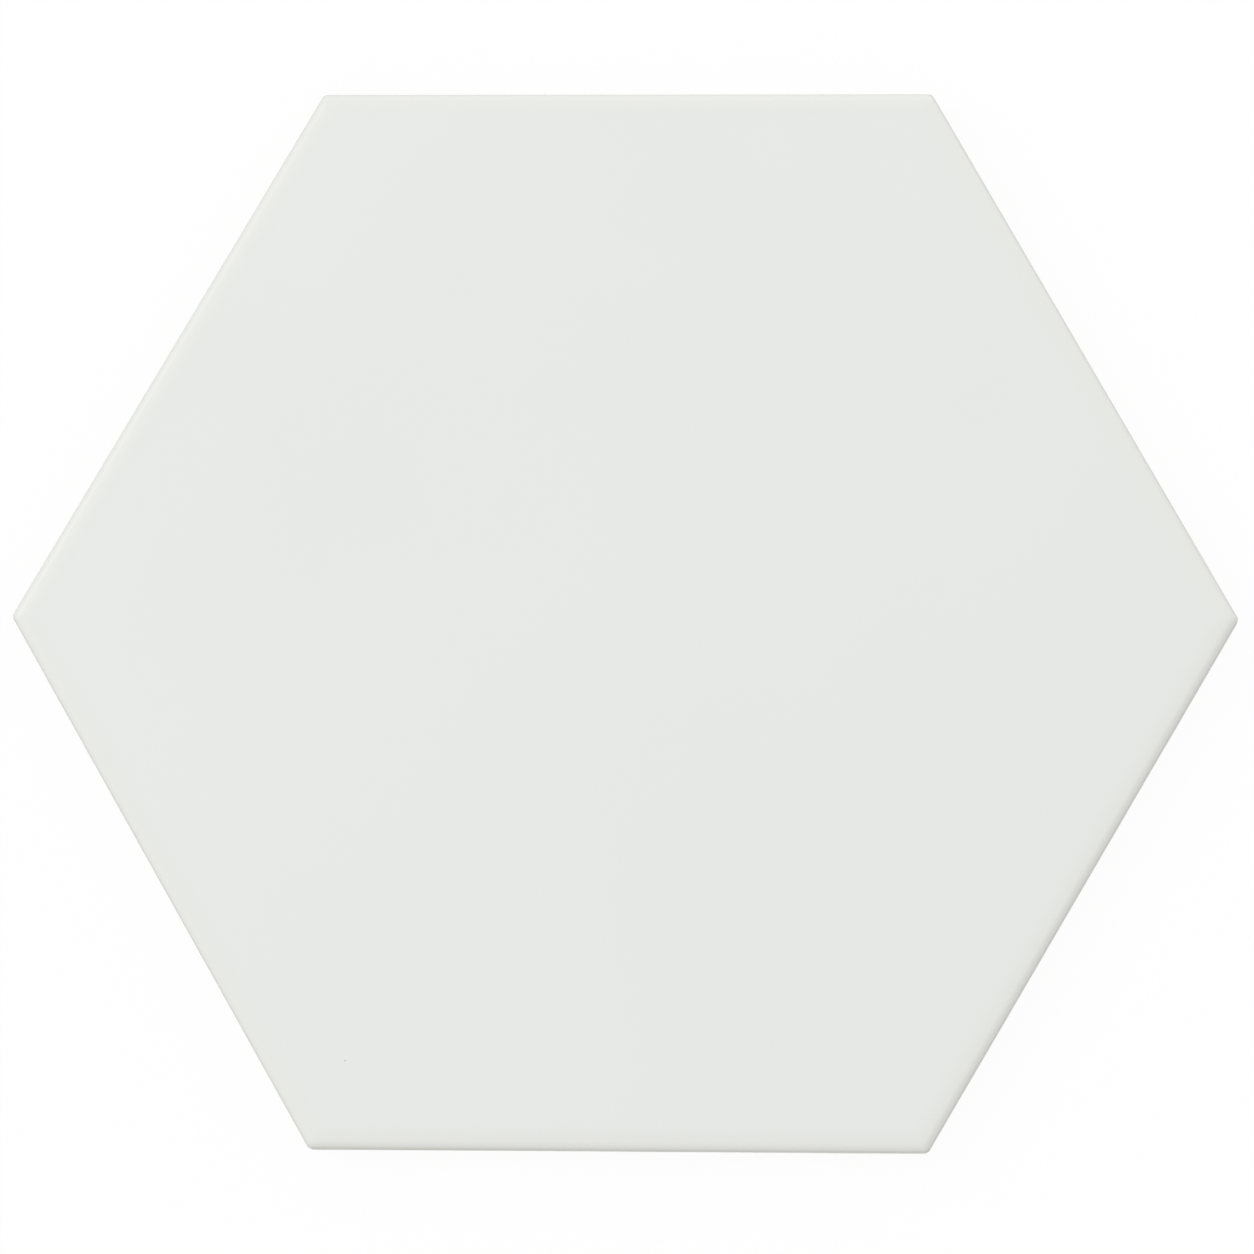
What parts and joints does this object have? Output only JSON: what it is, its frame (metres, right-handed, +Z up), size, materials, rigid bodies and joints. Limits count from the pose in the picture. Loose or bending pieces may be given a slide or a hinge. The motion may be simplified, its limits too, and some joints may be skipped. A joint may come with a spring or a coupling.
{
  "type": "hexagon floor tile",
  "caption": "Flat hexagonal glazed porcelain floor tile with softened top edges, rounded corners and a keyed honeycomb back.",
  "frame": {"origin": "middle of the back, on the plane of its ribs and rim, which is what the tile lies on", "axes": "+X to a corner, +Y across two opposite sides, +Z up out of the glazed face"},
  "size_m": [0.2018, 0.175, 0.009],
  "materials": {
    "glazed_porcelain": "smooth matt white glaze on the face and edges, bare pale porcelain on the foot and the back"
  },
  "bodies": {
    "root": {"hexagon_tile": "glazed_porcelain"}
  },
  "joints": []
}
